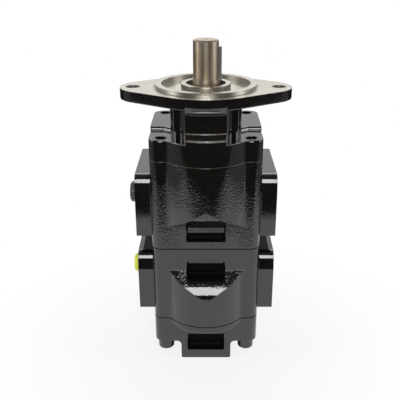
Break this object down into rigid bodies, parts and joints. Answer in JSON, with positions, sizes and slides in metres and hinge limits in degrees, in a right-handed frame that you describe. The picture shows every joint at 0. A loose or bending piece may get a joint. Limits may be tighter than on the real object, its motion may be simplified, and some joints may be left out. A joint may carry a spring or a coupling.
{
  "type": "tandem hydraulic gear pump",
  "caption": "Tandem external gear pump: two cast housings between end covers, two-bolt pilot flange, keyed drive shaft, side flange ports.",
  "frame": {"origin": "centre of the mounting pilot in the plane of the flange's mounting face", "axes": "+Z along the drive shaft out of the pump; X along the two flange holes, inlets on +X and outlets on -X; +Y towards the driven gears"},
  "size_m": [0.172, 0.154, 0.354],
  "materials": {
    "black_cast_iron": "gloss black paint over rough casting, machined faces bare",
    "ground_steel": "ground",
    "key_steel": "drawn, dull",
    "spring_steel": "phosphated",
    "dowel_steel": "ground",
    "black_bolt": "gloss black paint",
    "bearing_bronze": "machined",
    "seal_rubber": "matte black",
    "grey_plastic": "satin",
    "yellow_plastic": "satin"
  },
  "bodies": {
    "pump_casing": {"front_cover": "black_cast_iron", "front_housing": "black_cast_iron", "rear_housing": "black_cast_iron", "rear_cover": "black_cast_iron", "shaft_seal": "seal_rubber", "seal_snap_ring": "spring_steel", "tie_bolts": "black_bolt", "front_dowels": "dowel_steel", "middle_dowels": "dowel_steel", "rear_dowels": "dowel_steel", "front_port_plug": "grey_plastic", "rear_port_plug": "yellow_plastic", "front_cover_drive_bushing": "bearing_bronze", "front_cover_driven_bushing": "bearing_bronze", "front_housing_drive_bushing": "bearing_bronze", "front_housing_driven_bushing": "bearing_bronze", "rear_housing_drive_bushing": "bearing_bronze", "rear_housing_driven_bushing": "bearing_bronze", "rear_cover_drive_bushing": "bearing_bronze", "rear_cover_driven_bushing": "bearing_bronze", "front_upper_thrust_plate": "bearing_bronze", "front_upper_plate_seal": "seal_rubber", "front_lower_thrust_plate": "bearing_bronze", "front_lower_plate_seal": "seal_rubber", "rear_upper_thrust_plate": "bearing_bronze", "rear_upper_plate_seal": "seal_rubber", "rear_lower_thrust_plate": "bearing_bronze", "rear_lower_plate_seal": "seal_rubber", "front_section_seal": "seal_rubber", "middle_section_seal": "seal_rubber", "rear_section_seal": "seal_rubber"},
    "drive_train": {"drive_shaft": "ground_steel", "shaft_key": "key_steel", "coupling_sleeve": "ground_steel", "rear_drive_gear": "ground_steel"},
    "front_driven_gear": {"front_driven_gear": "ground_steel"},
    "rear_driven_gear": {"rear_driven_gear": "ground_steel"}
  },
  "joints": [
    {"name": "drive_rotation", "type": "hinge", "parent": "pump_casing", "child": "drive_train", "pos_m": [0, 0, 0], "axis": [0, 0, 1], "continuous": true},
    {"name": "front_driven_rotation", "type": "hinge", "parent": "pump_casing", "child": "front_driven_gear", "pos_m": [0, 0.046, 0], "axis": [0, 0, 1], "continuous": true},
    {"name": "rear_driven_rotation", "type": "hinge", "parent": "pump_casing", "child": "rear_driven_gear", "pos_m": [0, 0.046, 0], "axis": [0, 0, 1], "continuous": true}
  ],
  "couplings": [
    {"joint": "front_driven_rotation", "follows": "drive_rotation", "ratio": -1},
    {"joint": "rear_driven_rotation", "follows": "drive_rotation", "ratio": -1}
  ]
}
